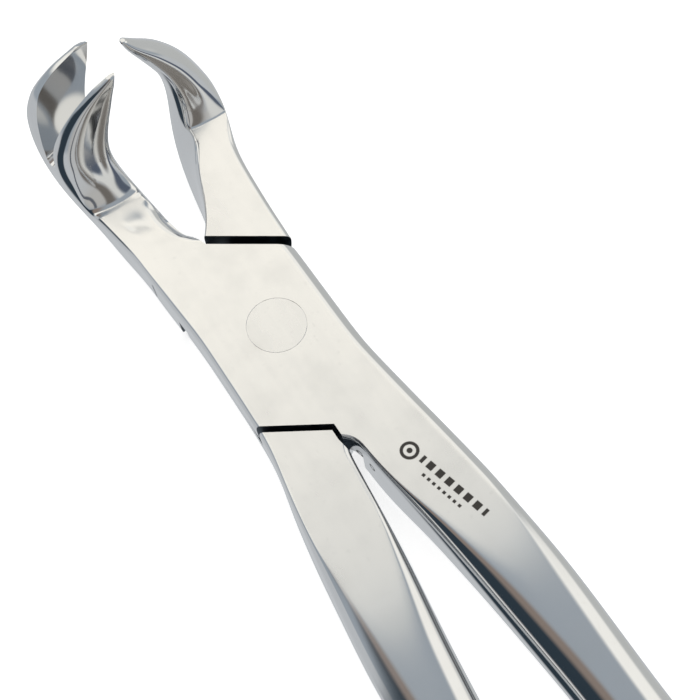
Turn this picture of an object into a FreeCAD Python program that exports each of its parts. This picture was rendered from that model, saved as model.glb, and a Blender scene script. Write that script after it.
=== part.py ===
import FreeCAD, Part
import math
import os

# Three-beak molar extraction forceps, lap joint.  Millimetres.
# Origin: pin axis at the back face of the joint.  +Y beaks, +X right, +Z front face.

# Driving sizes
joint_thickness = 7.4        # both lap plates together; also the height of the handles
handle_reach = 140.0         # pin axis to handle ends
handle_width = 9.1           # handle across, in the grip
plate_left = 8.8             # pin axis to the left side of the joint plate
plate_right = 7.7            # pin axis to the right side of the joint plate
lap_clearance = 0.06         # between the two sliding lap faces
upper_gap = 1.1              # open gap between a plate's upper edge and the facing shoulder
lower_gap = 0.8              # the same at the lower edge
pin_diameter = 4.5           # pin shaft
head_diameter = 7.2          # flush head seen on the front face
head_depth = 1.3             # thickness of each pin head
side_taper = 0.6             # how far each side of the joint leans in toward the back
running_clearance = 0.03     # radial, pin in the single-beak half
tip_reach = 35.4             # pin axis to the beak tips, along Y
tip_rise = 13.4              # beak tips above the front face
fork_spread = 6.9            # between the two prong tips
slot_root = 1.0              # half width of the fork slot at its root

os.makedirs("parts", exist_ok=True)

T = joint_thickness
mid = T / 2.0
tip_z = T + tip_rise
beak_run = 28.0              # length of the curved part, root to tip
ring_count = 28              # points round each ring
ring_step = 3.0              # spacing of the rings


def fork_spine():
    """Four control points (y, z) of the fork beak's centre curve."""
    return [(16.0, mid), (25.5, mid - 0.2), (tip_reach - 2.4, tip_z - 11.3), (tip_reach, tip_z)]


def single_spine():
    """Four control points (y, z) of the single beak's centre curve."""
    return [(20.0, mid), (30.0, mid - 0.2), (tip_reach - 1.2, tip_z - 14.6), (tip_reach - 0.3, tip_z + 1.4)]


def on_spine(ctrl, s):
    """Point (y, z) and slope angle at s; negative s is millimetres before the curve."""
    if s <= 0.0:
        return ctrl[0][0] + s, ctrl[0][1], 0.0
    a = 1.0 - s
    w = (a ** 3, 3 * a * a * s, 3 * a * s * s, s ** 3)
    y = sum(w[i] * ctrl[i][0] for i in range(4))
    z = sum(w[i] * ctrl[i][1] for i in range(4))
    v = (3 * a * a, 6 * a * s, 3 * s * s)
    dy = sum(v[i] * (ctrl[i + 1][0] - ctrl[i][0]) for i in range(3))
    dz = sum(v[i] * (ctrl[i + 1][1] - ctrl[i][1]) for i in range(3))
    return y, z, math.atan2(dz, dy)


def signed_power(value, power):
    return math.copysign(abs(value) ** power, value)


def outline_points(ctrl, row):
    """Closed squared-oval ring across the spine.

    row: s, left side at the low and high edge, right side at the low and high edge,
    low and high reach, squareness, hollow pressed into the face toward the other beak
    (positive: right face, negative: left face).
    """
    s, left_low, left_high, right_low, right_high, low, high, square, hollow = row
    y, z, slope = on_spine(ctrl, s)
    points = []
    for i in range(ring_count):
        t = 2.0 * math.pi * (i + 0.5) / ring_count + 0.5 * math.pi
        u = signed_power(math.cos(t), 2.0 / square)
        v = signed_power(math.sin(t), 2.0 / square)
        n = (low + high) / 2.0 + (high - low) / 2.0 * v
        w = (v + 1.0) / 2.0
        a = left_low + (left_high - left_low) * w
        b = right_low + (right_high - right_low) * w
        x = (a + b) / 2.0 + (b - a) / 2.0 * u
        x -= hollow * max(0.0, math.copysign(1.0, hollow) * u) * (1.0 - v * v)
        points.append(FreeCAD.Vector(x, y - n * math.sin(slope), z + n * math.cos(slope)))
    return points


def along(row):
    """Distance of a row along the spine, in millimetres."""
    return row[0] if row[0] <= 0.0 else row[0] * beak_run


def blend_rows(rows, step):
    """Fill in rows between the stations with a smooth curve that never overshoots."""
    where = [along(row) for row in rows]
    gaps = [b - a for a, b in zip(where, where[1:])]
    columns = []
    for k in range(1, len(rows[0])):
        values = [row[k] for row in rows]
        rise = [(b - a) / g for a, b, g in zip(values, values[1:], gaps)]
        slopes = [rise[0]]
        for a, b in zip(rise, rise[1:]):
            slopes.append(2.0 * a * b / (a + b) if a * b > 0.0 else 0.0)
        slopes.append(rise[-1])
        columns.append((values, slopes))
    dense = []
    for i, gap in enumerate(gaps):
        count = max(1, int(round(gap / step)))
        for j in range(count):
            q = j / count
            here = where[i] + gap * q
            row = [here if here <= 0.0 else here / beak_run]
            for values, slopes in columns:
                row.append(
                    values[i] * (1.0 + 2.0 * q) * (1.0 - q) ** 2
                    + slopes[i] * gap * q * (1.0 - q) ** 2
                    + values[i + 1] * (3.0 - 2.0 * q) * q * q
                    + slopes[i + 1] * gap * (q - 1.0) * q * q
                )
            dense.append(row)
    dense.append(list(rows[-1]))
    return dense


def skin(ctrl, rows):
    """One smooth closed surface over the rings, capped flat at both ends."""
    rings = [outline_points(ctrl, row) for row in blend_rows(rows, ring_step)]
    count = len(rings)
    knots = [float(i) for i in range(count - 2)]
    mults = [4] + [1] * (count - 4) + [4]
    surface = Part.BSplineSurface()
    surface.buildFromPolesMultsKnots(
        rings, mults, [1] * (ring_count + 1), knots,
        [float(i) for i in range(ring_count + 1)], False, True, 3, 3,
    )
    side = surface.toShape()
    caps = []
    for place in (knots[0], knots[-1]):
        caps.append(Part.Face(Part.Wire([surface.uIso(place).toShape()])))
    shell = Part.makeShell([side] + caps)
    shell.sewShape()
    solid = Part.makeSolid(shell)
    if solid.Volume < 0.0:
        solid.reverse()
    return solid


def plain(ctrl, y, left, right, tall, square, inset=0.0):
    """Row of a straight part; inset narrows each side toward the underside."""
    return (y - ctrl[0][0], left + inset, left, right - inset, right, -tall, tall, square, 0.0)


def handle_rows(ctrl, side):
    """Handle end up to the lower shoulder; side +1 right handle, -1 left handle."""
    reach = handle_reach
    half = handle_width / 2.0
    rows = []
    for y, centre, wide, tall, square in (
        (reach, 11.0, 1.6, 1.2, 2.0),
        (reach - 0.4, 11.0, half - 1.7, mid - 1.1, 2.0),
        (reach - 2.0, 11.1, half - 0.4, mid - 0.2, 2.1),
        (reach - 6.0, 11.2, half, mid, 2.2),
        (reach - 22.0, 11.85, half, mid, 2.3),
        (reach * 0.68, 11.35, half, mid, 2.3),
        (reach * 0.543, 10.05, half, mid, 2.4),
        (reach * 0.43, 9.3, half - 0.1, mid + 0.1, 2.8),
        (reach * 0.32, 8.35, half + 0.3, mid + 0.2, 3.5),
        (reach * 0.228, 6.95, half + 0.3, mid + 0.4, 5.0),
    ):
        rows.append(plain(ctrl, -y, side * centre - wide, side * centre + wide, tall, square))
    return rows


def fork_blank():
    """Right handle, joint stock and the wide beak before it is slotted."""
    ctrl = fork_spine()
    spread = fork_spread / 2.0
    rows = handle_rows(ctrl, 1)
    for y, left, right, inset in (
        (-20.0, 0.4, plate_right + 2.3, 0.2),
        (-16.5, 0.1, plate_right + 1.7, 0.4),
        (-14.5, -4.5, plate_right + 1.4, 0.5),
        (-12.0, -plate_left - 0.1, plate_right + 1.0, 0.6),
        (-6.0, -plate_left, plate_right + 0.2, side_taper),
        (2.0, -plate_left, plate_right - 0.1, side_taper),
        (8.0, -plate_left - 0.4, plate_right - 0.3, side_taper),
        (10.5, -plate_left - 0.6, plate_right - 0.5, side_taper),
        (13.0, -plate_left - 0.75, 2.6, side_taper),
    ):
        rows.append(plain(ctrl, y, left, right, mid + 0.6, 8.0, inset))
    rows += [
        (0.0, -9.1, -9.8, -1.9, -2.5, -mid - 0.4, mid + 0.6, 6.0, 0.0),
        (0.15, -9.9, -10.2, -2.9, -3.8, -mid - 0.4, mid + 0.5, 5.0, 0.0),
        (0.3, -10.7, -10.8, -3.4, -4.4, -mid - 0.5, mid - 0.3, 4.0, 0.0),
        (0.4, -11.6, -11.2, -4.0, -4.8, -spread - 1.1, spread - 0.8, 3.2, 0.0),
        (0.5, -12.4, -11.8, -4.9, -5.2, -spread - 1.5, spread - 0.9, 2.9, 0.0),
        (0.6, -12.9, -12.3, -5.6, -5.2, -spread - 1.8, spread - 0.5, 2.8, 0.3),
        (0.7, -13.2, -12.1, -5.9, -4.6, -spread - 1.9, spread, 2.8, 0.6),
        (0.8, -13.0, -10.5, -5.6, -3.7, -spread - 1.8, spread + 0.4, 2.8, 0.6),
        (0.9, -11.5, -8.0, -4.2, -2.8, -spread - 1.3, spread + 0.6, 3.0, 0.4),
        (0.96, -8.3, -5.4, -3.0, -2.2, -spread - 0.9, spread + 0.6, 3.4, 0.2),
        (1.0, -4.4, -3.2, -2.2, -1.9, -spread - 0.5, spread + 0.5, 4.0, 0.0),
    ]
    return skin(ctrl, rows)


def single_blank():
    """Left handle, joint stock and the pointed single beak."""
    ctrl = single_spine()
    rows = handle_rows(ctrl, -1)
    for y, left, right, inset in (
        (-20.0, -plate_left - 1.3, -1.2, 0.2),
        (-16.5, -plate_left - 0.7, -0.7, 0.4),
        (-14.5, -plate_left - 0.4, 3.5, 0.5),
        (-12.0, -plate_left - 0.2, plate_right + 0.6, 0.6),
        (-6.0, -plate_left, plate_right + 0.2, side_taper),
        (2.0, -plate_left, plate_right - 0.1, side_taper),
        (8.0, -plate_left - 0.2, plate_right - 0.1, side_taper),
        (10.5, -plate_left - 0.3, plate_right, side_taper),
        (13.0, -3.2, plate_right, side_taper),
        (16.0, -0.6, plate_right + 0.1, side_taper),
    ):
        rows.append(plain(ctrl, y, left, right, mid + 0.6, 8.0, inset))
    rows += [
        (0.0, 0.9, 1.3, 7.9, 8.0, -mid - 0.4, mid + 0.6, 6.0, 0.0),
        (0.15, 1.4, 2.7, 8.7, 8.4, -mid - 0.3, mid + 0.5, 5.0, 0.0),
        (0.3, 1.9, 4.2, 9.6, 9.2, -mid - 0.1, mid + 0.2, 4.0, 0.0),
        (0.4, 2.4, 4.9, 10.0, 9.7, -3.6, 3.4, 3.5, 0.0),
        (0.5, 3.2, 4.9, 10.2, 10.1, -3.4, 2.8, 3.0, 0.0),
        (0.6, 4.0, 4.5, 10.1, 10.1, -3.2, 2.5, 2.6, -0.2),
        (0.7, 4.3, 4.3, 9.4, 9.4, -2.9, 2.4, 2.4, -0.3),
        (0.8, 3.7, 3.7, 8.2, 8.2, -2.6, 2.2, 2.3, -0.3),
        (0.9, 2.2, 2.2, 5.8, 5.8, -2.0, 1.8, 2.2, -0.2),
        (0.97, 1.0, 1.0, 2.8, 2.8, -1.1, 1.1, 2.0, 0.0),
        (1.0, 0.6, 0.6, 1.5, 1.5, -0.6, 0.6, 2.0, 0.0),
    ]
    return skin(ctrl, rows)


def prism(points, z0, z1):
    """Straight-sided block over an outline in the XY plane."""
    corners = [FreeCAD.Vector(x, y, z0) for x, y in points]
    wire = Part.makePolygon(corners + corners[:1])
    return Part.Face(wire).extrude(FreeCAD.Vector(0, 0, z1 - z0))


def ground_flat(blank, flat_end):
    """Grind the whole underside to z = 0, then the front flat back to flat_end."""
    under = Part.makeBox(60.0, handle_reach + 80.0, 20.0)
    under.translate(FreeCAD.Vector(-30.0, -handle_reach - 20.0, -20.0))
    top = Part.makeBox(60.0, handle_reach + 20.0 + flat_end, 20.0)
    top.translate(FreeCAD.Vector(-30.0, -handle_reach - 20.0, T))
    return blank.cut(under).cut(top)


def plate_edge(sign):
    """Corner points of a lap plate's two slanted edges; sign -1 mirrors them."""
    upper = [(sign * -1.65, 14.0), (sign * 6.5, 8.7)]
    lower = [(sign * -8.7, -10.0), (sign * -0.9, -14.6)]
    return upper, lower


def beside_upper_edge(sign, lean, top):
    """Outline of the space beyond the upper plate edge, where the other shank stands."""
    (x0, y0), (x1, y1) = plate_edge(sign)[0]
    out = (x1 + 2.0 * (x1 - x0), y1 + 2.0 * (y1 - y0))
    return [(x0, y0), out, (out[0], top), (x0 + sign * lean * (top - y0), top)]


def beside_lower_edge(sign):
    """Outline of the space beyond the lower plate edge, where the other handle stands."""
    (x0, y0), (x1, y1) = plate_edge(sign)[1]
    out = (x0 + 2.0 * (x0 - x1), y0 + 2.0 * (y0 - y1))
    return [(x1, y1), out, (out[0], -60.0), (x1, -60.0)]


def handle_root_relief(sign):
    """Outline of the corner taken off the handle root, so the handles can close."""
    near = [(sign * 1.5, -8.0), (sign * 1.5, -16.6), (sign * 1.1, -18.6)]
    return near + [(-sign * 2.0, -18.6), (-sign * 2.0, -8.0)]


def recess_outline(sign):
    """Outline of the lap recess: the other plate's edges moved out by the shoulder gap."""
    upper, lower = plate_edge(-sign)
    band = []
    for (x0, y0), (x1, y1), way, gap in (
        (upper[0], upper[1], 1.0, upper_gap),
        (lower[1], lower[0], -1.0, lower_gap),
    ):
        length = math.hypot(x1 - x0, y1 - y0)
        ux = (x1 - x0) / length
        uy = (y1 - y0) / length
        nx = abs(uy) * -sign * way
        ny = abs(ux) * way
        px = x0 + nx * gap
        py = y0 + ny * gap
        band.append((px - ux * 16.0, py - uy * 16.0))
        band.append((px + ux * 24.0, py + uy * 24.0))
    return band


def fork_slot():
    """Cutter for the round-bottomed slot that parts the beak into two prongs."""
    ctrl = fork_spine()
    wide = fork_spread / 2.0 - 0.25
    near = []
    far = []
    for s, half in ((1.0, wide), (0.87, wide * 0.62), (0.74, slot_root)):
        y, z, slope = on_spine(ctrl, s)
        near.append(FreeCAD.Vector(-20.0, y - half * math.sin(slope), z + half * math.cos(slope)))
        far.append(FreeCAD.Vector(-20.0, y + half * math.sin(slope), z - half * math.cos(slope)))
    y, z, slope = on_spine(ctrl, 0.74)
    root = FreeCAD.Vector(-20.0, y - slot_root * math.cos(slope), z - slot_root * math.sin(slope))
    rise = FreeCAD.Vector(0.0, 1.5, 6.0)
    edges = [
        Part.Arc(near[0], near[1], near[2]).toShape(),
        Part.Arc(near[2], root, far[2]).toShape(),
        Part.Arc(far[2], far[1], far[0]).toShape(),
        Part.makeLine(far[0], far[0] + rise),
        Part.makeLine(far[0] + rise, near[0] + rise),
        Part.makeLine(near[0] + rise, near[0]),
    ]
    return Part.Face(Part.Wire(edges)).extrude(FreeCAD.Vector(24.0, 0, 0))


def fork_beak_half():
    body = ground_flat(fork_blank(), 24.2)
    lap = mid + lap_clearance / 2.0
    body = body.cut(prism(beside_upper_edge(1, -0.33, 19.0), lap - lap_clearance, T + 5.0))
    body = body.cut(prism(beside_lower_edge(1), lap - lap_clearance, T + 5.0))
    body = body.cut(prism(recess_outline(1), -5.0, lap))
    body = body.cut(prism(handle_root_relief(1), -5.0, lap))
    body = body.cut(fork_slot())
    body = body.cut(Part.makeCylinder(pin_diameter / 2.0, T + 10.0, FreeCAD.Vector(0, 0, -5.0)))
    return body.cut(Part.makeCylinder(head_diameter / 2.0, 10.0, FreeCAD.Vector(0, 0, T - head_depth)))


def single_beak_half():
    body = ground_flat(single_blank(), 28.6)
    lap = mid - lap_clearance / 2.0
    body = body.cut(prism(beside_upper_edge(-1, 0.48, 40.0), -5.0, lap))
    body = body.cut(prism(beside_lower_edge(-1), -5.0, lap))
    body = body.cut(prism(recess_outline(-1), lap, T + 5.0))
    body = body.cut(prism(handle_root_relief(-1), lap, T + 5.0))
    bore = pin_diameter / 2.0 + running_clearance
    body = body.cut(Part.makeCylinder(bore, T + 10.0, FreeCAD.Vector(0, 0, -5.0)))
    rim = head_diameter / 2.0 - 0.4 + running_clearance
    return body.cut(Part.makeCylinder(rim, head_depth + lap_clearance + 5.0, FreeCAD.Vector(0, 0, -5.0)))


def joint_pin():
    """Riveted pin: shaft, flush front head, flush back head inside the other half."""
    shaft = Part.makeCylinder(pin_diameter / 2.0, T)
    front = Part.makeCylinder(head_diameter / 2.0, head_depth, FreeCAD.Vector(0, 0, T - head_depth))
    back = Part.makeCylinder(head_diameter / 2.0 - 0.4, head_depth)
    return shaft.fuse([front, back]).removeSplitter()


for name, shape in (
    ("fork_beak_half", fork_beak_half()),
    ("single_beak_half", single_beak_half()),
    ("joint_pin", joint_pin()),
):
    shape.exportStep("parts/" + name + ".step")
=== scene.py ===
"""Three-beak molar extraction forceps: two forged halves and the flush rivet that joins them."""

import math

import bmesh
import bpy
import numpy as np
from mathutils import Matrix, Vector


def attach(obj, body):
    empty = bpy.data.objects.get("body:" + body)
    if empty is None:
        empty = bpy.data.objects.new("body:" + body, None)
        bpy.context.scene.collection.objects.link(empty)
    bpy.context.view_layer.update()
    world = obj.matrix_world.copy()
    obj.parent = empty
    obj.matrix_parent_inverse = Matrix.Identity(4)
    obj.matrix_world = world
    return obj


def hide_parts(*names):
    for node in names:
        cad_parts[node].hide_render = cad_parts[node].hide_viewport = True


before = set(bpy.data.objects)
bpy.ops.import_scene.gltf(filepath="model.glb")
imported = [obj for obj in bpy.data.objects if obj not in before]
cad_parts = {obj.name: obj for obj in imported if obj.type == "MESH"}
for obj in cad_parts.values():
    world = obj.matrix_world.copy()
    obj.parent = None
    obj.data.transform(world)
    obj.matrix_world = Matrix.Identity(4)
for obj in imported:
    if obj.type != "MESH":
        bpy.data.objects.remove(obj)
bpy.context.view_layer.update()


# ---------------------------------------------------------------------------
# Forked half.  One stainless forging: two prongs, a bent shank, the front lap
# plate and the right handle.  Forged, ground flat on the front of the joint,
# filed at the shoulders and polished on a wheel.  Sizes are in millimetres.

joint_thick = 7.4
lap_level = joint_thick / 2
plate_left = 8.8
plate_right = 7.7
lap_gap = 0.06
upper_shoulder_gap = 1.1
lower_shoulder_gap = 0.8
side_lean = 0.6
tip_reach = 35.4
tip_height = 20.8
beak_length = 28.0
prong_spread = 6.9 / 2
rivet_radius = 2.25
front_head_radius = 3.6
front_head_seat = 6.1
back_head_radius = 3.2
back_head_seat = 1.3
clear_below = -5.0
clear_above = 12.0
ring_spacing = 0.35
hammer_ease = 1.3
points_around = 144
sides_of_bore = 128
sharp_edge = 26


def point_on_line(line, s):
    """Where the middle of the forging is, s mm before its bend or a share s along the beak."""
    if s <= 0:
        return line[0][0] + s, line[0][1], 0.0
    a = 1 - s
    weights = (a**3, 3 * a * a * s, 3 * a * s * s, s**3)
    y = sum(w * p[0] for w, p in zip(weights, line))
    z = sum(w * p[1] for w, p in zip(weights, line))
    turns = (a * a, 2 * a * s, s * s)
    dy = sum(w * (q[0] - p[0]) for w, p, q in zip(turns, line, line[1:]))
    dz = sum(w * (q[1] - p[1]) for w, p, q in zip(turns, line, line[1:]))
    return y, z, math.atan2(dz, dy)


def drawn_out(stations, spacing, ease):
    """Sections between the stations, with the small unevenness hammered out over the length ease."""
    stations = np.array(stations, float)
    where = np.where(stations[:, 0] <= 0, stations[:, 0], stations[:, 0] * beak_length)
    gaps = np.diff(where)
    rise = np.diff(stations[:, 1:], axis=0) / gaps[:, None]
    both = rise[:-1] * rise[1:]
    lean = np.where(both > 0, 2 * both / (rise[:-1] + rise[1:] + 1e-12), 0)
    lean = np.vstack([rise[:1], lean, rise[-1:]])
    count = int(round((where[-1] - where[0]) / spacing))
    at = np.linspace(where[0], where[-1], count + 1)
    i = np.clip(np.searchsorted(where, at, side="right") - 1, 0, len(gaps) - 1)
    q = ((at - where[i]) / gaps[i])[:, None]
    g = gaps[i][:, None]
    rows = (
        stations[i, 1:] * (1 + 2 * q) * (1 - q) ** 2
        + lean[i] * g * q * (1 - q) ** 2
        + stations[i + 1, 1:] * (3 - 2 * q) * q * q
        + lean[i + 1] * g * (q - 1) * q * q
    )
    reach = int(3 * ease / spacing)
    bell = np.exp(-0.5 * (np.arange(-reach, reach + 1) * spacing / ease) ** 2)
    bell /= bell.sum()
    padded = np.vstack([2 * rows[0] - rows[reach:0:-1], rows, 2 * rows[-1] - rows[-2 : -reach - 2 : -1]])
    eased = np.array([np.convolve(padded[:, k], bell, "valid") for k in range(rows.shape[1])]).T
    near_end = np.clip(np.minimum(at - at[0], at[-1] - at) / 8.0, 0, 1)[:, None]
    rows = rows + (eased - rows) * near_end
    share = np.where(at <= 0, at, at / beak_length)
    return np.hstack([share[:, None], rows])


def forged_rings(line, rows, flute_depth, flute_place, flute_width):
    """Squared-oval sections set square to the bent middle line; one ring of points for each row.
    The front of the beak carries a shallow polished flute, placed and sized as a share of its half width."""
    t = 2 * math.pi * (np.arange(points_around) + 0.5) / points_around + math.pi / 2
    c, d = np.cos(t), np.sin(t)
    rings = []
    for s, left_low, left_high, right_low, right_high, low, high, square, hollow in rows:
        y, z, slope = point_on_line(line, s)
        u = np.sign(c) * np.abs(c) ** (2 / square)
        v = np.sign(d) * np.abs(d) ** (2 / square)
        n = (low + high) / 2 + (high - low) / 2 * v
        w = (v + 1) / 2
        a = left_low + (left_high - left_low) * w
        b = right_low + (right_high - right_low) * w
        x = (a + b) / 2 + (b - a) / 2 * u
        x = x - hollow * np.maximum(0, math.copysign(1, hollow) * u) * (1 - v * v)
        along_beak = math.sin(math.pi * min(max((s - 0.12) / 0.86, 0), 1)) ** 0.7
        trough = np.exp(-(((u - flute_place) / flute_width) ** 2)) * np.maximum(0, v) ** 2
        n = n - flute_depth * along_beak * trough
        rings.append(np.stack([x, y - n * math.sin(slope), z + n * math.cos(slope)], 1))
    return np.array(rings)


def softly_under(value, limit, edge):
    """The smaller of the two, with the corner between them rounded over the width edge."""
    h = np.clip(0.5 + 0.5 * (limit - value) / edge, 0, 1)
    return limit * (1 - h) + value * h - edge * h * (1 - h)


def face_grinding(rings, rows, flat_end, dip, climb, crown, left_round, right_round):
    """Grind the front to one plane as far as flat_end and the back to z = 0.  Past flat_end the wheel
    leaves a small hollow of depth dip, then climbs into the beak, lower by crown at its two sides; the
    long edges are rolled over by the two widths."""
    x = rings[..., 0]
    y = rings[..., 1]
    z = rings[..., 2]
    roll = 0
    for outside, width in ((rows[:, 2:3] - x, left_round), (x - rows[:, 4:5], right_round)):
        into = np.clip((outside + width) / width, 0, 1)
        roll = roll + width * (1 - np.sqrt(1.0001 - into**2))
    roll = roll * np.clip((flat_end - 1 - y) / 3, 0, 1)
    past = np.maximum(0, y - flat_end)
    hollow_at = 0.8
    hollow = dip * (past / hollow_at) * np.exp(1 - past / hollow_at)
    across = (2 * x - rows[:, 2:3] - rows[:, 4:5]) / (rows[:, 4:5] - rows[:, 2:3])
    hollow = hollow + crown * np.clip(past / 2.5, 0, 1) * (across - 0.15) ** 2
    round_up = climb[0] * past + climb[1] * past**2 + climb[2] * past**3
    z = softly_under(z, joint_thick - roll - hollow + round_up, 0.22 + 0.5 * np.clip(past, 0, 1))
    rings[..., 2] = -softly_under(-z, 0.0, 0.3)
    return rings


def closed_forging(name, rings):
    """Mesh of the rings with a small dome at both ends, still in millimetres."""
    for end, inner in ((0, 1), (-1, -2)):
        ring = rings[end]
        middle = ring.mean(0)
        out = middle - rings[inner].mean(0)
        out /= np.linalg.norm(out)
        spread = np.linalg.norm(ring - middle, axis=1).min()
        rise = out * spread * 0.7
        dome = [middle + (ring - middle) * math.cos(a) + rise * math.sin(a) for a in (0.35, 0.75, 1.15)]
        rings = np.concatenate([rings, dome]) if end else np.concatenate([dome[::-1], rings])
    count, around = rings.shape[:2]
    points = rings.reshape(-1, 3).tolist()
    faces = []
    for i in range(count - 1):
        for j in range(around):
            k = (j + 1) % around
            faces.append((i * around + j, i * around + k, (i + 1) * around + k, (i + 1) * around + j))
    faces.append(tuple(range(around))[::-1])
    faces.append(tuple(range((count - 1) * around, count * around)))
    mesh = bpy.data.meshes.new(name)
    mesh.from_pydata(points, [], faces)
    shape = bmesh.new()
    shape.from_mesh(mesh)
    bmesh.ops.recalc_face_normals(shape, faces=shape.faces)
    shape.to_mesh(mesh)
    shape.free()
    piece = bpy.data.objects.new(name, mesh)
    bpy.context.scene.collection.objects.link(piece)
    return piece


def block(outline, low, high):
    """Straight-sided cutter over an outline seen from the front."""
    n = len(outline)
    points = [(x, y, low) for x, y in outline] + [(x, y, high) for x, y in outline]
    faces = [tuple(range(n)), tuple(range(n, 2 * n))[::-1]]
    faces += [(i, (i + 1) % n, n + (i + 1) % n, n + i) for i in range(n)]
    return points, faces


def round_cutter(profile):
    """Cutter turned round the rivet axis from (radius, height) points."""
    n = len(profile)
    points = []
    for i in range(sides_of_bore):
        a = 2 * math.pi * i / sides_of_bore
        points += [(r * math.cos(a), r * math.sin(a), z) for r, z in profile]
    faces = []
    for i in range(sides_of_bore):
        k = (i + 1) % sides_of_bore
        faces += [(i * n + j, k * n + j, k * n + (j + 1) % n, i * n + (j + 1) % n) for j in range(n)]
    return points, faces


def cut_away(piece, cutters):
    """Take each cutter's space out of the forging."""
    for points, faces in cutters:
        mesh = bpy.data.meshes.new("cutter")
        mesh.from_pydata(points, [], faces)
        shape = bmesh.new()
        shape.from_mesh(mesh)
        bmesh.ops.recalc_face_normals(shape, faces=shape.faces)
        shape.to_mesh(mesh)
        shape.free()
        tool = bpy.data.objects.new("cutter", mesh)
        bpy.context.scene.collection.objects.link(tool)
        step = piece.modifiers.new("cut", "BOOLEAN")
        step.operation = "DIFFERENCE"
        step.solver = "EXACT"
        step.object = tool
        result = bpy.data.meshes.new_from_object(piece.evaluated_get(bpy.context.evaluated_depsgraph_get()))
        piece.modifiers.clear()
        old = piece.data
        piece.data = result
        bpy.data.meshes.remove(old)
        bpy.data.objects.remove(tool)
        bpy.data.meshes.remove(mesh)


def polished(piece):
    """Metres instead of millimetres, and smooth shading that stops at the filed edges."""
    piece.data.name = piece.name
    piece.data.transform(Matrix.Scale(0.001, 4))
    piece.data.shade_smooth()
    piece.data.set_sharp_from_angle(angle=math.radians(sharp_edge))
    return piece


def straight_row(line, y, left, right, tall, square, inset=0.0):
    """Station of the straight part at y: its two sides, its half height and how square it is."""
    return (y - line[0][0], left + inset, left, right - inset, right, -tall, tall, square, 0.0)


def handle_rows(line, side):
    """Handle from its end to the lower shoulder, bowed outward; side 1 right, -1 left.  Each row is the
    distance below the rivet, the middle, the half width, the half height and the squareness."""
    rows = []
    for y, centre, wide, tall, square in (
        (140.0, 11.0, 1.6, 1.2, 2.0),
        (139.6, 11.0, 2.85, lap_level - 1.1, 2.0),
        (138.0, 11.1, 4.15, lap_level - 0.2, 2.0),
        (134.0, 11.2, 4.55, lap_level, 2.0),
        (118.0, 11.85, 4.55, lap_level, 2.0),
        (95.2, 11.35, 4.55, lap_level, 2.0),
        (76.0, 10.05, 4.55, lap_level, 2.05),
        (60.2, 9.3, 4.45, lap_level, 2.2),
        (44.8, 8.35, 4.85, lap_level + 0.08, 2.7),
        (31.9, 6.95, 4.85, lap_level + 0.35, 4.2),
    ):
        rows.append(straight_row(line, -y, side * centre - wide, side * centre + wide, tall, square))
    return rows


def plate_edge(side):
    """The two slanted edges of a lap plate; side -1 mirrors them for the back plate."""
    return [(side * -1.65, 14.0), (side * 6.5, 8.7)], [(side * -8.7, -10.0), (side * -0.9, -14.6)]


def beside_upper_edge(side, lean, top):
    """Outline of the space beyond a lap plate's upper edge, up to y = top."""
    (x0, y0), (x1, y1) = plate_edge(side)[0]
    far = (x1 + 1.1 * (x1 - x0), y1 + 1.1 * (y1 - y0))
    return [(x0, y0), far, (far[0], top), (x0 + side * lean * (top - y0), top)]


def beside_lower_edge(side):
    """Outline of the space beyond a lap plate's lower edge."""
    (x0, y0), (x1, y1) = plate_edge(side)[1]
    far = (x0 + 2 * (x0 - x1), y0 + 2 * (y0 - y1))
    return [(x1, y1), far, (far[0], -60.0), (x1, -60.0)]


def root_relief(side):
    """Outline of the clearance at the throat between the two handle roots."""
    near = [(side * 1.5, -8.0), (side * 1.5, -16.6), (side * 1.1, -18.6)]
    return near + [(-side * 2.0, -18.6), (-side * 2.0, -8.0)]


def lap_recess(side):
    """Outline of the bed that the other plate lies in, wider by the shoulder gaps."""
    upper, lower = plate_edge(-side)
    band = []
    for (x0, y0), (x1, y1), way, gap in (
        (upper[0], upper[1], 1, upper_shoulder_gap),
        (lower[1], lower[0], -1, lower_shoulder_gap),
    ):
        length = math.hypot(x1 - x0, y1 - y0)
        ux, uy = (x1 - x0) / length, (y1 - y0) / length
        px = x0 - abs(uy) * side * way * gap
        py = y0 + abs(ux) * way * gap
        band += [(px - ux * 16, py - uy * 16), (px + ux * 24, py + uy * 24)]
    return band


fork_line = [
    (16.0, lap_level),
    (25.5, lap_level - 0.2),
    (tip_reach - 2.4, tip_height - 11.3),
    (tip_reach, tip_height),
]

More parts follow.
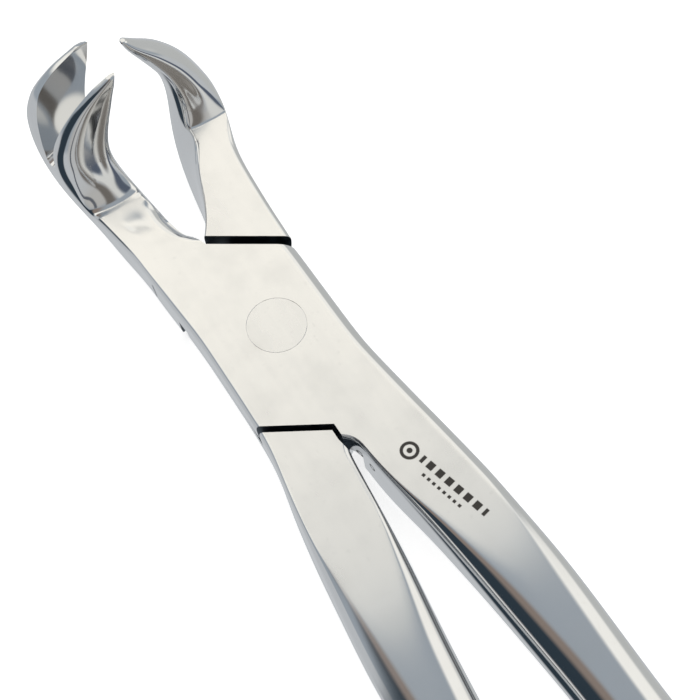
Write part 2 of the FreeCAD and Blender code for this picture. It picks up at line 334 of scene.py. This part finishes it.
fork_rows = handle_rows(fork_line, 1)
for y, left, right, inset in (
    (-20.0, 0.4, plate_right + 2.3, 0.2),
    (-16.5, 0.1, plate_right + 1.7, 0.4),
    (-14.5, -4.5, plate_right + 1.4, 0.5),
    (-12.0, -plate_left - 0.1, plate_right + 1.0, 0.6),
    (-6.0, -plate_left, plate_right + 0.2, side_lean),
    (2.0, -plate_left, plate_right - 0.1, side_lean),
    (8.0, -plate_left - 0.4, plate_right - 0.3, side_lean),
    (10.5, -plate_left - 0.6, plate_right - 0.5, side_lean),
    (13.0, -plate_left - 0.75, 2.6, side_lean),
):
    fork_rows.append(straight_row(fork_line, y, left, right, lap_level + 0.6, 8.0, inset))
fork_rows += [
    (0.0, -9.1, -9.8, -1.9, -2.5, -lap_level - 0.4, lap_level + 0.6, 6.0, 0.0),
    (0.15, -9.9, -10.2, -2.9, -3.8, -lap_level - 0.4, lap_level + 0.5, 5.0, 0.0),
    (0.3, -10.7, -10.8, -3.4, -4.4, -lap_level - 0.5, lap_level - 0.3, 4.0, 0.0),
    (0.4, -11.6, -11.2, -4.0, -4.8, -prong_spread - 1.1, prong_spread - 0.8, 3.2, 0.0),
    (0.5, -12.4, -11.8, -4.9, -5.2, -prong_spread - 1.5, prong_spread - 0.9, 3.2, 0.0),
    (0.6, -12.9, -12.3, -5.6, -5.2, -prong_spread - 1.8, prong_spread - 0.5, 3.6, 0.3),
    (0.7, -13.2, -12.1, -5.9, -4.6, -prong_spread - 1.9, prong_spread, 4.2, 0.7),
    (0.8, -13.0, -10.5, -5.6, -3.7, -prong_spread - 1.8, prong_spread + 0.4, 5.0, 0.8),
    (0.9, -11.5, -8.0, -4.2, -2.8, -prong_spread - 1.3, prong_spread + 0.6, 6.0, 0.5),
    (0.96, -8.3, -5.4, -3.0, -2.2, -prong_spread - 0.9, prong_spread + 0.6, 6.0, 0.3),
    (1.0, -4.4, -3.2, -2.2, -1.9, -prong_spread - 0.5, prong_spread + 0.5, 4.0, 0.0),
]


def prong_slot():
    """Round-bottomed slot that parts the beak into its two prongs.  Its sides are bowed, so that the
    prongs are hollow inside, and its root runs out lower on the outer side."""
    bow_depth, bow_middle, bow_reach = 0.55, -8.2, 4.6
    root_radius = 1.0
    outlines = []
    for x in (-20.0, *np.linspace(-15, -1, 43), 4.0):
        side = min(max(x, -15.0), -1.0)
        bow = bow_depth * max(0, 1 - ((side - bow_middle) / bow_reach) ** 2)
        root_at = 0.74 + 0.011 * (side + 8)
        near, far = [], []
        for q in np.linspace(0, 1, 40):
            y, z, slope = point_on_line(fork_line, 1.0 - (1.0 - root_at) * q)
            taper = (1 - q) ** 1.25
            half = (prong_spread - 0.25) * taper + root_radius * (1 - taper)
            half += bow * math.sin(math.pi * q)
            near.append((x, y - half * math.sin(slope), z + half * math.cos(slope)))
            far.append((x, y + half * math.sin(slope), z - half * math.cos(slope)))
        y, z, slope = point_on_line(fork_line, root_at)
        root = []
        for a in np.linspace(math.pi, 0, 33)[1:-1]:
            along, across = -root_radius * math.sin(a), -root_radius * math.cos(a)
            dy = along * math.cos(slope) - across * math.sin(slope)
            dz = along * math.sin(slope) + across * math.cos(slope)
            root.append((x, y + dy, z + dz))
        top = [(x, far[0][1] + 1.5, far[0][2] + 6.0), (x, near[0][1] + 1.5, near[0][2] + 6.0)]
        outlines.append(near + root + far[::-1] + top)
    n = len(outlines[0])
    last = (len(outlines) - 1) * n
    points = [point for outline in outlines for point in outline]
    faces = [tuple(range(n)), tuple(range(last, last + n))[::-1]]
    for start in range(0, last, n):
        for i in range(n):
            k = (i + 1) % n
            faces.append((start + i, start + k, start + n + k, start + n + i))
    return points, faces


sections = drawn_out(fork_rows, ring_spacing, hammer_ease)
rings = forged_rings(fork_line, sections, flute_depth=0.4, flute_place=0.3, flute_width=0.4)
rings = face_grinding(
    rings,
    sections,
    flat_end=24.2,
    dip=0.16,
    climb=(0.24, 0.06, 0.05),
    crown=1.1,
    left_round=0.4,
    right_round=1.7,
)

# A shallow dish is polished into the front, slanting across just below the beak.

dish_x, dish_y, dish_depth = -7.1, 20.7, 0.24
along = 0.65 * (rings[..., 0] - dish_x) - 0.76 * (rings[..., 1] - dish_y)
across = 0.76 * (rings[..., 0] - dish_x) + 0.65 * (rings[..., 1] - dish_y)
dish = np.exp(-((along / 1.9) ** 2) - (across / np.where(across < 0, 0.9, 1.7)) ** 2)
rings[..., 2] -= dish_depth * dish * np.clip(rings[..., 2] - 6.2, 0, 1)

forked_half = closed_forging("forked_half", rings)
bed = lap_level + lap_gap / 2
rivet_hole = [
    (0.001, clear_below),
    (rivet_radius, clear_below),
    (rivet_radius, front_head_seat),
    (front_head_radius, front_head_seat),
    (front_head_radius, joint_thick - 0.02),
    (front_head_radius + 0.02, joint_thick),
    (front_head_radius + 0.05, 9),
    (0.001, 9),
]
cut_away(
    forked_half,
    [
        block(beside_upper_edge(1, -0.33, 19.0), bed - lap_gap, clear_above),
        block(beside_lower_edge(1), bed - lap_gap, clear_above),
        block(lap_recess(1), clear_below, bed),
        block(root_relief(1), clear_below, bed),
        prong_slot(),
        round_cutter(rivet_hole),
    ],
)
polished(forked_half)
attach(forked_half, "fork_half")
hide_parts("fork_beak_half")


def value_math(tree, kind, a, b=None, c=None):
    """Output of a Math node; each part is a number or a socket."""
    node = tree.nodes.new("ShaderNodeMath")
    node.operation = kind
    for i, part in enumerate((a, b, c)):
        if part is None:
            continue
        if isinstance(part, (int, float)):
            node.inputs[i].default_value = part
        else:
            tree.links.new(part, node.inputs[i])
    return node.outputs[0]


def ramp(tree, value, low, high, to_low=0.0, to_high=1.0):
    """Smooth step from to_low to to_high as the value goes from low to high."""
    node = tree.nodes.new("ShaderNodeMapRange")
    node.interpolation_type = "SMOOTHSTEP"
    tree.links.new(value, node.inputs["Value"])
    node.inputs["From Min"].default_value = low
    node.inputs["From Max"].default_value = high
    node.inputs["To Min"].default_value = to_low
    node.inputs["To Max"].default_value = to_high
    return node.outputs["Result"]


def colour_mix(tree, factor, a, b):
    """Colour a turning into colour b as the factor goes from 0 to 1; a is a colour or a socket."""
    mix = tree.nodes.new("ShaderNodeMix")
    mix.data_type = "RGBA"
    tree.links.new(factor, mix.inputs["Factor"])
    if isinstance(a, tuple):
        mix.inputs["A"].default_value = a
    else:
        tree.links.new(a, mix.inputs["A"])
    mix.inputs["B"].default_value = b
    return mix.outputs["Result"]


def wheel_finish_group():
    """Satin on the ground flats of the joint, mirror on the curves and handles, with cloudy patches and
    hair scratches from the polishing wheel."""
    tree = bpy.data.node_groups.new("wheel_finish", "ShaderNodeTree")
    for name, kind, value in (
        ("Satin Roughness", "NodeSocketFloat", 0.2),
        ("Mirror Roughness", "NodeSocketFloat", 0.08),
        ("Flat Height", "NodeSocketFloat", joint_thick / 1000),
        ("Scratch Depth", "NodeSocketFloat", 0.25),
    ):
        tree.interface.new_socket(name, in_out="INPUT", socket_type=kind).default_value = value
    tree.interface.new_socket("Color", in_out="OUTPUT", socket_type="NodeSocketColor")
    tree.interface.new_socket("Roughness", in_out="OUTPUT", socket_type="NodeSocketFloat")
    tree.interface.new_socket("Height", in_out="OUTPUT", socket_type="NodeSocketFloat")
    given = tree.nodes.new("NodeGroupInput")
    result = tree.nodes.new("NodeGroupOutput")
    coordinates = tree.nodes.new("ShaderNodeTexCoord")
    place = coordinates.outputs["Object"]
    split = tree.nodes.new("ShaderNodeSeparateXYZ")
    tree.links.new(place, split.inputs[0])
    facing = tree.nodes.new("ShaderNodeSeparateXYZ")
    tree.links.new(coordinates.outputs["Normal"], facing.inputs[0])
    upright = ramp(tree, facing.outputs[2], 0.985, 0.9985)
    level = value_math(tree, "SUBTRACT", split.outputs[2], given.outputs["Flat Height"])
    near = ramp(tree, value_math(tree, "ABSOLUTE", level), 0.0004, 0.00004)
    flat = value_math(tree, "MULTIPLY", upright, near)
    flat = value_math(tree, "MULTIPLY", flat, ramp(tree, split.outputs[1], -0.046, -0.030))

    def noise(shade_and_file_tone, detail, stretch=(1, 1, 1), turn=0.0):
        mapping = tree.nodes.new("ShaderNodeMapping")
        mapping.inputs["Scale"].default_value = stretch
        mapping.inputs["Rotation"].default_value = (0, 0, turn)
        tree.links.new(place, mapping.inputs["Vector"])
        cloud = tree.nodes.new("ShaderNodeTexNoise")
        cloud.inputs["Scale"].default_value = shade_and_file_tone
        cloud.inputs["Detail"].default_value = detail
        tree.links.new(mapping.outputs[0], cloud.inputs["Vector"])
        return cloud.outputs["Fac"]

    patches = noise(210, 3)
    streaks = noise(900, 2, (1, 0.06, 1), 0.35)
    hairs = noise(2600, 1, (1, 0.03, 1), -0.5)
    specks = ramp(tree, noise(1500, 0), 0.73, 0.78)
    satin = value_math(tree, "MULTIPLY_ADD", patches, 0.10, given.outputs["Satin Roughness"])
    satin = value_math(tree, "MULTIPLY_ADD", streaks, 0.06, satin)
    mirror = value_math(tree, "MULTIPLY_ADD", patches, 0.05, given.outputs["Mirror Roughness"])
    blend = tree.nodes.new("ShaderNodeMix")
    blend.data_type = "FLOAT"
    tree.links.new(flat, blend.inputs["Factor"])
    tree.links.new(mirror, blend.inputs["A"])
    tree.links.new(satin, blend.inputs["B"])
    tree.links.new(blend.outputs[0], result.inputs["Roughness"])
    tint = colour_mix(tree, flat, (0.80, 0.805, 0.81, 1), (0.93, 0.915, 0.89, 1))
    cloudy = ramp(tree, patches, 0.42, 0.75, 0.0, 0.16)
    shade = value_math(tree, "MAXIMUM", cloudy, value_math(tree, "MULTIPLY", specks, 0.12))
    tree.links.new(colour_mix(tree, shade, tint, (0.70, 0.69, 0.67, 1)), result.inputs["Color"])
    grain = value_math(tree, "MULTIPLY", streaks, 0.5)
    height = value_math(tree, "MULTIPLY_ADD", hairs, given.outputs["Scratch Depth"], grain)
    tree.links.new(height, result.inputs["Height"])
    return tree


wheel_finish = wheel_finish_group()


def surgical_steel(name, satin, mirror, scratch=0.25):
    """Stainless steel material with the wheel finish; returns the material and its main nodes."""
    material = bpy.data.materials.new(name)
    material.use_nodes = True
    tree = material.node_tree
    shader = tree.nodes["Principled BSDF"]
    shader.inputs["Metallic"].default_value = 1.0
    finish = tree.nodes.new("ShaderNodeGroup")
    finish.node_tree = wheel_finish
    finish.inputs["Satin Roughness"].default_value = satin
    finish.inputs["Mirror Roughness"].default_value = mirror
    finish.inputs["Flat Height"].default_value = joint_thick / 1000
    finish.inputs["Scratch Depth"].default_value = scratch
    tree.links.new(finish.outputs["Color"], shader.inputs["Base Color"])
    tree.links.new(finish.outputs["Roughness"], shader.inputs["Roughness"])
    bump = tree.nodes.new("ShaderNodeBump")
    bump.inputs["Strength"].default_value = 0.06
    bump.inputs["Distance"].default_value = 0.00002
    tree.links.new(finish.outputs["Height"], bump.inputs["Height"])
    tree.links.new(bump.outputs[0], shader.inputs["Normal"])
    return material, tree, shader, finish


def maker_mark_group():
    """Plain dark laser mark on the handle root, a ring and two rows of bars, and two round punch marks on the
    inner side of the handle.  Lengths inside are in millimetres from the middle of the mark."""
    tree = bpy.data.node_groups.new("maker_mark", "ShaderNodeTree")
    tree.interface.new_socket("Middle", in_out="INPUT", socket_type="NodeSocketVector")
    tree.interface.new_socket("Mark", in_out="OUTPUT", socket_type="NodeSocketFloat")
    given = tree.nodes.new("NodeGroupInput")
    result = tree.nodes.new("NodeGroupOutput")
    place = tree.nodes.new("ShaderNodeTexCoord").outputs["Object"]
    from_middle = tree.nodes.new("ShaderNodeVectorMath")
    from_middle.operation = "SUBTRACT"
    tree.links.new(place, from_middle.inputs[0])
    tree.links.new(given.outputs["Middle"], from_middle.inputs[1])

    def reading(direction):
        dot = tree.nodes.new("ShaderNodeVectorMath")
        dot.operation = "DOT_PRODUCT"
        tree.links.new(from_middle.outputs[0], dot.inputs[0])
        dot.inputs[1].default_value = direction
        return dot.outputs["Value"]

    def within(value, middle, half, soft=0.06):
        away = value_math(tree, "ABSOLUTE", value_math(tree, "SUBTRACT", value, middle))
        return ramp(tree, away, half + soft, half - soft)

    def both(a, b):
        return value_math(tree, "MULTIPLY", a, b)

    def distance(a, b):
        return value_math(tree, "SQRT", value_math(tree, "ADD", both(a, a), both(b, b)))

    along = reading((255, -967, 0))
    across = reading((967, 255, 0))
    radius = distance(value_math(tree, "ADD", along, 5.3), across)
    ring = value_math(tree, "MAXIMUM", within(radius, 0.95, 0.2), within(radius, 0, 0.35))
    step = value_math(tree, "FRACT", value_math(tree, "DIVIDE", along, 1.45))
    bar_row = both(within(along, 1.45, 5.08), within(across, 0.25, 0.5))
    bars = both(within(step, 0.5, 0.31, 0.03), bar_row)
    dot_step = value_math(tree, "FRACT", value_math(tree, "DIVIDE", along, 0.8))
    dot_row = both(within(along, 0.8, 3.2), within(across, -1.15, 0.2))
    dots = both(within(dot_step, 0.5, 0.25, 0.05), dot_row)
    on_flat = ramp(tree, reading((0, 0, 1000)), 7.2, 7.3)
    laser = both(on_flat, value_math(tree, "MAXIMUM", ring, value_math(tree, "MAXIMUM", bars, dots)))
    height = value_math(tree, "SUBTRACT", reading((0, 0, 1000)), 4.2)
    beside = ramp(tree, reading((1000, 0, 0)), -4.4, -4.6)
    punches = None
    for y in (9.2, 6.9):
        length = value_math(tree, "SUBTRACT", reading((0, 1000, 0)), y)
        one = both(beside, within(distance(length, height), 0.42, 0.13))
        punches = one if punches is None else value_math(tree, "MAXIMUM", punches, one)
    tree.links.new(value_math(tree, "MAXIMUM", laser, punches), result.inputs["Mark"])
    return tree


fork_steel, tree, shader, finish = surgical_steel("fork_half_polished_steel", satin=0.17, mirror=0.06)
mark = tree.nodes.new("ShaderNodeGroup")
mark.node_tree = maker_mark_group()
mark.inputs["Middle"].default_value = (0.006, -0.0273, 0)
burnt = colour_mix(tree, mark.outputs["Mark"], finish.outputs["Color"], (0.09, 0.085, 0.08, 1))
tree.links.new(burnt, shader.inputs["Base Color"])
dulled = value_math(tree, "MULTIPLY_ADD", mark.outputs["Mark"], 0.3, finish.outputs["Roughness"])
tree.links.new(dulled, shader.inputs["Roughness"])
forked_half.data.materials.append(fork_steel)

# The wheel can't reach into the joint, so the shoulders and the lap faces stay filed and unpolished. Their
# dark blue-black colour is partly that filed steel and partly painted shade for the narrow gaps between the
# two plates.

shoulder_shade_steel = bpy.data.materials.new("filed_shoulders_painted_shade")
shoulder_shade_steel.use_nodes = True
tree = shoulder_shade_steel.node_tree
shader = tree.nodes["Principled BSDF"]
shader.inputs["Metallic"].default_value = 1.0
marks = tree.nodes.new("ShaderNodeTexNoise")
marks.inputs["Scale"].default_value = 900
marks.inputs["Detail"].default_value = 3
tree.links.new(tree.nodes.new("ShaderNodeTexCoord").outputs["Object"], marks.inputs["Vector"])
# Near-black blue base colour with file-mark noise: painted shade in the joint's gaps over the filed steel.
shade_and_file_tone = colour_mix(tree, marks.outputs["Fac"], (0.030, 0.045, 0.060, 1), (0.16, 0.19, 0.22, 1))
tree.links.new(shade_and_file_tone, shader.inputs["Base Color"])
tree.links.new(ramp(tree, marks.outputs["Fac"], 0.3, 0.7, 0.35, 0.55), shader.inputs["Roughness"])


def darken_shoulders(piece, lap):
    """Give the cut walls of the joint and the lap face the dark filed steel, which also carries painted shade
    for the gaps.
    """
    piece.data.materials.append(shoulder_shade_steel)
    walls = [Vector(w).normalized() for w in ((5.3, 8.15, 0), (-5.3, 8.15, 0), (4.6, 7.8, 0), (-4.6, 7.8, 0))]
    for face in piece.data.polygons:
        on_wall = any(abs(face.normal.dot(w)) > 0.99995 for w in walls)
        if on_wall or abs(face.center.z - lap / 1000) < 1e-6:
            face.material_index = 1


darken_shoulders(forked_half, bed)


# ---------------------------------------------------------------------------
# Single-beak half.  The second forging: one pointed beak, a shank, the back lap
# plate and the left handle.  It is recessed from the front where the other
# plate crosses it, and bored for the rivet.

single_line = [
    (20.0, lap_level),
    (30.0, lap_level - 0.2),
    (tip_reach - 1.2, tip_height - 14.6),
    (tip_reach - 0.3, tip_height + 1.4),
]
single_rows = handle_rows(single_line, -1)
for y, left, right, inset in (
    (-20.0, -plate_left - 1.3, -1.2, 0.2),
    (-16.5, -plate_left - 0.7, -0.7, 0.4),
    (-14.5, -plate_left - 0.4, 3.5, 0.5),
    (-12.0, -plate_left - 0.2, plate_right + 0.6, 0.6),
    (-6.0, -plate_left, plate_right + 0.2, side_lean),
    (2.0, -plate_left, plate_right - 0.1, side_lean),
    (8.0, -plate_left - 0.2, plate_right - 0.1, side_lean),
    (10.5, -plate_left - 0.3, plate_right, side_lean),
    (13.0, -3.2, plate_right, side_lean),
    (16.0, -0.6, plate_right + 0.1, side_lean),
):
    single_rows.append(straight_row(single_line, y, left, right, lap_level + 0.6, 8.0, inset))
single_rows += [
    (0.0, 0.9, 1.3, 7.9, 8.0, -lap_level - 0.4, lap_level + 0.6, 6.0, 0.0),
    (0.15, 1.4, 2.7, 8.7, 8.4, -lap_level - 0.3, lap_level + 0.5, 5.0, 0.0),
    (0.3, 1.9, 4.2, 9.6, 9.2, -lap_level - 0.1, lap_level + 0.2, 4.0, 0.0),
    (0.4, 2.4, 4.9, 10.0, 9.7, -3.6, 3.4, 3.5, 0.0),
    (0.5, 3.2, 4.9, 10.2, 10.1, -3.4, 2.8, 3.0, 0.0),
    (0.6, 4.0, 4.5, 10.1, 10.1, -3.2, 2.5, 2.6, -0.2),
    (0.7, 4.3, 4.3, 9.4, 9.4, -2.9, 2.4, 2.4, -0.3),
    (0.8, 3.7, 3.7, 8.2, 8.2, -2.6, 2.2, 2.3, -0.3),
    (0.9, 2.2, 2.2, 5.8, 5.8, -2.0, 1.8, 2.2, -0.2),
    (0.97, 1.0, 1.0, 2.8, 2.8, -1.1, 1.1, 2.0, 0.0),
    (1.0, 0.6, 0.6, 1.5, 1.5, -0.6, 0.6, 2.0, 0.0),
]

sections = drawn_out(single_rows, ring_spacing, hammer_ease)
rings = forged_rings(single_line, sections, flute_depth=0.3, flute_place=-0.2, flute_width=0.45)
rings = face_grinding(
    rings,
    sections,
    flat_end=28.6,
    dip=0.14,
    climb=(0.7, 0.35, 0.05),
    crown=0.8,
    left_round=0.5,
    right_round=0.9,
)
single_half = closed_forging("single_beak", rings)
bed = lap_level - lap_gap / 2
turning_gap = 0.03
rivet_hole = [
    (0.001, clear_below),
    (back_head_radius + 0.1, clear_below),
    (back_head_radius + 0.1, -0.1),
    (back_head_radius + turning_gap, 0.06),
    (back_head_radius + turning_gap, back_head_seat + 0.06),
    (rivet_radius + turning_gap, back_head_seat + 0.06),
    (rivet_radius + turning_gap, clear_above),
    (0.001, clear_above),
]
cut_away(
    single_half,
    [
        block(beside_upper_edge(-1, 0.48, 40.0), clear_below, bed),
        block(beside_lower_edge(-1), clear_below, bed),
        block(lap_recess(-1), bed, clear_above),
        block(root_relief(-1), bed, clear_above),
        round_cutter(rivet_hole),
    ],
)
polished(single_half)
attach(single_half, "single_half")
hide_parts("single_beak_half")
single_steel = surgical_steel("single_half_polished_steel", satin=0.18, mirror=0.06)[0]
single_half.data.materials.append(single_steel)
darken_shoulders(single_half, bed)


# ---------------------------------------------------------------------------
# Joint rivet.  A stainless pin peened over at both ends and ground level with
# the joint, so only the hairline round its head shows.

hairline = 0.007
rivet_profile = [
    (0.0, 0.0),
    (back_head_radius - 0.06, 0.0),
    (back_head_radius, 0.06),
    (back_head_radius, back_head_seat),
    (rivet_radius, back_head_seat),
    (rivet_radius, front_head_seat),
    (front_head_radius - hairline, front_head_seat),
    (front_head_radius - hairline, joint_thick - 0.02),
    (front_head_radius - hairline - 0.02, joint_thick),
    (0.0, joint_thick),
]
rivet_mesh = bpy.data.meshes.new("joint_rivet")
shape = bmesh.new()
edges = []
verts = [shape.verts.new((r, 0.0, z)) for r, z in rivet_profile]
for a, b in zip(verts, verts[1:]):
    edges.append(shape.edges.new((a, b)))
bmesh.ops.spin(
    shape,
    geom=verts + edges,
    cent=(0, 0, 0),
    axis=(0, 0, 1),
    angle=2 * math.pi,
    steps=sides_of_bore,
    use_merge=True,
)
bmesh.ops.remove_doubles(shape, verts=shape.verts, dist=1e-4)
bmesh.ops.recalc_face_normals(shape, faces=shape.faces)
shape.to_mesh(rivet_mesh)
shape.free()
joint_rivet = bpy.data.objects.new("joint_rivet", rivet_mesh)
bpy.context.scene.collection.objects.link(joint_rivet)
polished(joint_rivet)
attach(joint_rivet, "fork_half")
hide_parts("joint_pin")
rivet_steel = surgical_steel("rivet_ground_steel", satin=0.2, mirror=0.1)[0]
joint_rivet.data.materials.append(rivet_steel)


# ---------------------------------------------------------------------------
# Table.  A plain white sheet that the forceps lie on.  The steel doesn't mirror
# it: the light tent below the horizon stands for it there.

floor_mesh = bpy.data.meshes.new("white_sheet")
shape = bmesh.new()
bmesh.ops.create_circle(shape, cap_ends=True, radius=1.6, segments=96)
shape.to_mesh(floor_mesh)
shape.free()
white_sheet = bpy.data.objects.new("white_sheet", floor_mesh)
white_sheet.location = (0, 0, -0.0002)
bpy.context.scene.collection.objects.link(white_sheet)
sheet_paint = bpy.data.materials.new("white_sheet_paint")
sheet_paint.use_nodes = True
tree = sheet_paint.node_tree
shader = tree.nodes["Principled BSDF"]
shader.inputs["Base Color"].default_value = (0.9, 0.9, 0.9, 1)
shader.inputs["Roughness"].default_value = 0.8
shader.inputs["Specular IOR Level"].default_value = 0.0
shader.inputs["Emission Color"].default_value = (1, 1, 1, 1)
shader.inputs["Emission Strength"].default_value = 0.75
floor_mesh.materials.append(sheet_paint)
white_sheet.visible_glossy = False


# ---------------------------------------------------------------------------
# Studio light.  A grey tent with a bright panel beyond the beaks, strips hung
# behind the camera, and walls along the handles: dark on the left, a blue-grey
# ceiling between, and a bright window on the right.

room = bpy.data.worlds.new("light_tent")
room.use_nodes = True
tree = room.node_tree
way = tree.nodes.new("ShaderNodeTexCoord").outputs["Generated"]


def lit_patch(tent, toward, narrow, wide, colour):
    """Add to the tent a soft-edged patch round one direction; narrow and wide are its edges in degrees."""
    aim = tree.nodes.new("ShaderNodeVectorMath")
    aim.operation = "DOT_PRODUCT"
    tree.links.new(way, aim.inputs[0])
    aim.inputs[1].default_value = Vector(toward).normalized()
    inside = ramp(tree, aim.outputs["Value"], math.cos(math.radians(wide)), math.cos(math.radians(narrow)))
    return colour_mix(tree, inside, tent, (*colour, 1))


parts_of_way = tree.nodes.new("ShaderNodeSeparateXYZ")
tree.links.new(way, parts_of_way.inputs[0])


def hanging_strip(tent, across, half, colour):
    """Add to the tent a strip that hangs behind the camera from the ceiling down, across from the left."""
    off = value_math(tree, "ABSOLUTE", value_math(tree, "SUBTRACT", parts_of_way.outputs[0], across))
    behind = ramp(tree, parts_of_way.outputs[1], -0.2, -0.42)
    inside = value_math(tree, "MULTIPLY", ramp(tree, off, half * 1.3, half * 0.6), behind)
    return colour_mix(tree, inside, tent, (*colour, 1))


bearing = value_math(tree, "ARCTAN2", parts_of_way.outputs[0], parts_of_way.outputs[2])


def side_wall(tent, start, end, soft, colour):
    """Add to the tent a wall along the handles, between two bearings in degrees from straight up."""
    edges = [math.radians(v) for v in (start - soft, start + soft, end + soft, end - soft)]
    between = value_math(tree, "MULTIPLY", ramp(tree, bearing, *edges[:2]), ramp(tree, bearing, *edges[2:]))
    far_end = ramp(tree, parts_of_way.outputs[1], 0.36, 0.29)
    near_end = ramp(tree, parts_of_way.outputs[1], -0.35, -0.2)
    inside = value_math(tree, "MULTIPLY", between, value_math(tree, "MULTIPLY", far_end, near_end))
    return colour_mix(tree, inside, tent, (*colour, 1))


ceiling_grey = (0.36, 0.40, 0.44)
panel_white = (1.05, 1.03, 0.965)
tent = lit_patch((*ceiling_grey, 1), (0, 0, -1), 85, 95, (0.56, 0.58, 0.6))
tent = lit_patch(tent, (1.0, 0.3, 0.05), 30, 50, (0.55, 0.56, 0.55))
tent = lit_patch(tent, (-0.25, -0.85, 0.45), 15, 50, (0.52, 0.51, 0.49))
tent = hanging_strip(tent, 0.46, 0.12, (0.10, 0.12, 0.16))
tent = hanging_strip(tent, 0.24, 0.07, (0.75, 0.75, 0.72))
tent = hanging_strip(tent, 0.02, 0.10, (0.17, 0.155, 0.14))
tent = hanging_strip(tent, -0.42, 0.06, (0.12, 0.13, 0.15))
tent = lit_patch(tent, (-0.10, 0.72, 0.68), 24, 33, panel_white)
tent = lit_patch(tent, (0.30, 0.68, 0.66), 24, 33, panel_white)
tent = side_wall(tent, -40, 60, 8, ceiling_grey)
tent = side_wall(tent, -48, -10, 10, (0.27, 0.22, 0.19))
tent = side_wall(tent, -152, -36, 9, (0.03, 0.045, 0.06))
tent = side_wall(tent, 33, 78, 8, (1.05, 1.03, 0.97))
grey = tree.nodes["Background"]
tree.links.new(tent, grey.inputs["Color"])
white = tree.nodes.new("ShaderNodeBackground")
white.inputs["Color"].default_value = (1, 1, 1, 1)
seen = tree.nodes.new("ShaderNodeLightPath")
pick = tree.nodes.new("ShaderNodeMixShader")
tree.links.new(seen.outputs["Is Camera Ray"], pick.inputs[0])
tree.links.new(grey.outputs[0], pick.inputs[1])
tree.links.new(white.outputs[0], pick.inputs[2])
tree.links.new(pick.outputs[0], tree.nodes["World Output"].inputs["Surface"])
bpy.context.scene.world = room


# ---------------------------------------------------------------------------
# Camera, looking down over the handles toward the beaks.  The handles run out
# of its view, and nothing is out of focus.

right = Vector((0.8535, -0.5183, -0.0544))
up = Vector((0.4858, 0.7535, 0.4429))
back = Vector((-0.1886, -0.4044, 0.8949))
lens = bpy.data.cameras.new("camera")
lens.lens = 139.9
lens.sensor_width = 36.0
lens.clip_start = 0.01
camera = bpy.data.objects.new("camera", lens)
turn = Matrix((right, up, back)).transposed().to_4x4()
camera.matrix_world = Matrix.Translation((-0.0544, -0.1361, 0.2920)) @ turn
bpy.context.scene.collection.objects.link(camera)
bpy.context.scene.camera = camera
bpy.context.scene.view_settings.view_transform = "Standard"


bpy.context.view_layer.update()
